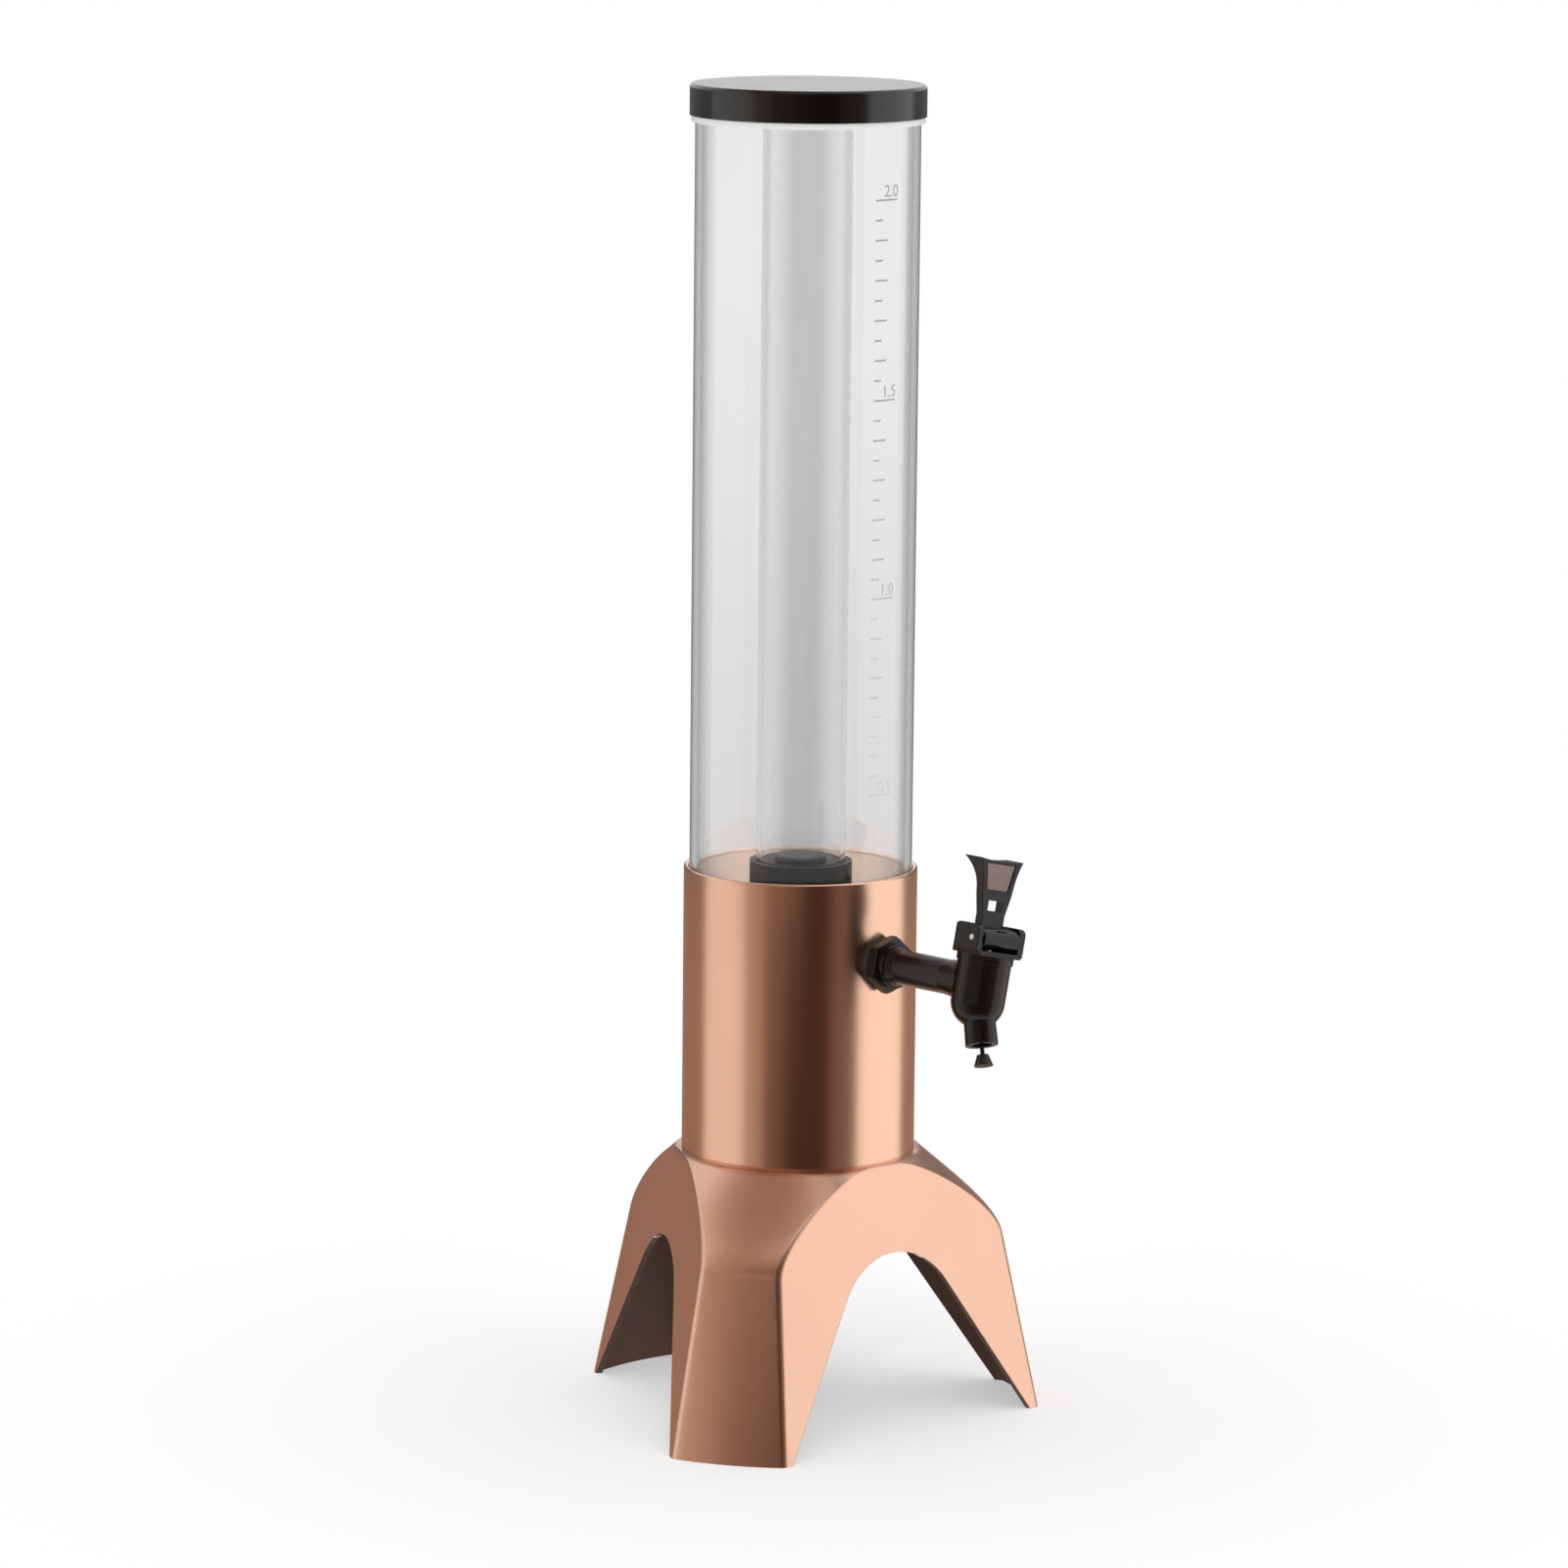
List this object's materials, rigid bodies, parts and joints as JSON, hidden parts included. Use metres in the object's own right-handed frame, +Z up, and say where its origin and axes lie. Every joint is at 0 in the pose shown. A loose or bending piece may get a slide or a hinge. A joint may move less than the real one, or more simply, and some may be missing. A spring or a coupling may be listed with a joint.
{
  "type": "beer tower dispenser",
  "caption": "Table drink tower: clear tube with an ice insert and lid, in a copper coloured sleeve on an arched tripod base, with a lever tap.",
  "frame": {"origin": "middle of the footprint box on the table top; the axis of the tower is 8.7 mm behind it, because the tap reaches further forward than the legs reach back", "axes": "+Z up along the tower, the tap points to -Y, +X to the right of someone who faces the tap"},
  "size_m": [0.2112, 0.2386, 0.6],
  "materials": {
    "copper_shell": "moulded shell with a satin copper coating",
    "copper_sleeve": "satin copper colour, bright rolled rim",
    "clear_tube": "clear polished acrylic",
    "black_gloss": "black, polished mould",
    "black_satin": "black, satin",
    "black_rubber": "soft seal rubber",
    "red_rubber": "soft valve rubber",
    "pale_silicone": "milky silicone",
    "steel": "plain stainless steel"
  },
  "bodies": {
    "tower": {"tripod_base": "copper_shell", "base_screws": "steel", "base_washers": "steel", "seat_ring": "black_satin", "sleeve": "copper_sleeve", "beer_tube": "clear_tube", "tube_plug": "black_satin", "plug_seals": "black_rubber", "tap_body": "black_gloss", "flange_nut": "black_gloss", "outer_washer": "black_rubber", "inner_washer": "black_rubber", "shank_nut": "black_satin", "tap_bonnet": "black_gloss", "lever_pin": "steel", "stem_seal": "black_rubber", "drip_guide": "black_gloss", "valve_spring": "steel"},
    "ice_insert": {"ice_tube": "clear_tube", "ice_foot": "black_satin", "ice_seal": "black_rubber"},
    "lid_cap": {"lid": "black_gloss", "lid_gasket": "pale_silicone"},
    "lever": {"tap_lever": "black_gloss"},
    "stem": {"valve_stem": "steel", "stem_pin": "steel", "valve_plug": "red_rubber"}
  },
  "joints": [
    {"name": "ice_lift", "type": "slide", "parent": "tower", "child": "ice_insert", "axis": [0, 0, 1], "range_m": [0, 0.41]},
    {"name": "lid_lift", "type": "slide", "parent": "ice_insert", "child": "lid_cap", "axis": [0, 0, 1], "range_m": [0, 0.08]},
    {"name": "lever_tilt", "type": "hinge", "parent": "tower", "child": "lever", "pos_m": [0.00433, -0.10932, 0.23203], "axis": [0.9763, 0, -0.2164], "range_deg": [0, 38], "stiffness_Nm_per_rad": 0.02, "springref_deg": -28.65},
    {"name": "stem_lift", "type": "slide", "parent": "tower", "child": "stem", "axis": [0.2164, 0, 0.9763], "range_m": [0, 0.0031], "deforming": ["valve_spring"]}
  ],
  "couplings": [
    {"joint": "stem_lift", "follows": "lever_tilt", "m_per_rad": 0.0046}
  ]
}
